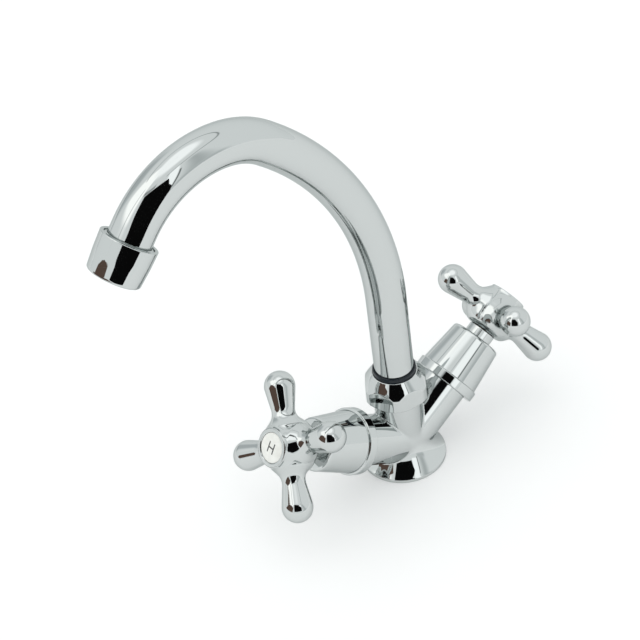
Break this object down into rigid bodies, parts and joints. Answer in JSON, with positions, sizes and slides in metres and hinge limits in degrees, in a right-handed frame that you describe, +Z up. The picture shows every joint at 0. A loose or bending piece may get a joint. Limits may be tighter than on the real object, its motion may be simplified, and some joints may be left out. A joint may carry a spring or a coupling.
{
  "type": "mixer tap",
  "caption": "Deck-mounted mixer tap with a Y-shaped body on a round foot, a swivelling swan-neck spout with an aerator, and cross handles turning ceramic disc valves.",
  "frame": {"origin": "centre of the foot's underside, where the fixing stud's thread opens", "axes": "+Z up through the tower and the spout's riser; -X towards the hot arm, over which the spout points at rest; +X towards the cold arm"},
  "size_m": [0.2366, 0.0646, 0.2458],
  "materials": {
    "chrome_plate": "polished chrome plate",
    "bare_brass": "machined",
    "black_rubber": "matt",
    "dark_ring": "satin",
    "slip_plastic": "satin",
    "valve_ceramic": "lapped",
    "glazed_ceramic": "glazed",
    "grey_plastic": "satin",
    "stainless": "bright"
  },
  "bodies": {
    "mixer": {"mixer_body": "chrome_plate", "base_gasket": "black_rubber", "spout_nut": "chrome_plate", "spout_wiper_ring": "dark_ring", "spout_slip_rings": "slip_plastic", "hot_seat_seal": "black_rubber", "hot_fixed_disc": "valve_ceramic", "hot_valve_bonnet": "bare_brass", "hot_bonnet_seal": "black_rubber", "hot_shroud": "chrome_plate", "hot_ring_nut": "chrome_plate", "cold_seat_seal": "black_rubber", "cold_fixed_disc": "valve_ceramic", "cold_valve_bonnet": "bare_brass", "cold_bonnet_seal": "black_rubber", "cold_shroud": "chrome_plate", "cold_ring_nut": "chrome_plate"},
    "spout": {"spout_ferrule": "bare_brass", "ferrule_o_rings": "black_rubber", "spout_tube": "chrome_plate", "outlet_bush": "chrome_plate", "aerator_shell": "chrome_plate", "aerator_washer": "black_rubber", "aerator_housing": "grey_plastic", "aerator_screens": "stainless", "aerator_grid": "grey_plastic"},
    "hot_control": {"hot_moving_disc": "valve_ceramic", "hot_spindle": "bare_brass", "hot_spindle_o_rings": "black_rubber", "hot_spindle_clip": "stainless", "hot_handle": "chrome_plate", "hot_handle_screw": "stainless", "hot_index_bezel": "chrome_plate", "hot_index_disc": "glazed_ceramic"},
    "cold_control": {"cold_moving_disc": "valve_ceramic", "cold_spindle": "bare_brass", "cold_spindle_o_rings": "black_rubber", "cold_spindle_clip": "stainless", "cold_handle": "chrome_plate", "cold_handle_screw": "stainless", "cold_index_bezel": "chrome_plate", "cold_index_disc": "glazed_ceramic"}
  },
  "joints": [
    {"name": "spout_swivel", "type": "hinge", "parent": "mixer", "child": "spout", "pos_m": [0, 0, 0], "axis": [0, 0, 1], "continuous": true},
    {"name": "hot_handle_turn", "type": "hinge", "parent": "mixer", "child": "hot_control", "pos_m": [-0.0685, 0, 0.05297], "axis": [-0.8563, 0, 0.5165], "range_deg": [0, 90]},
    {"name": "cold_handle_turn", "type": "hinge", "parent": "mixer", "child": "cold_control", "pos_m": [0.0685, 0, 0.05297], "axis": [0.8563, 0, 0.5165], "range_deg": [-90, 0]}
  ]
}
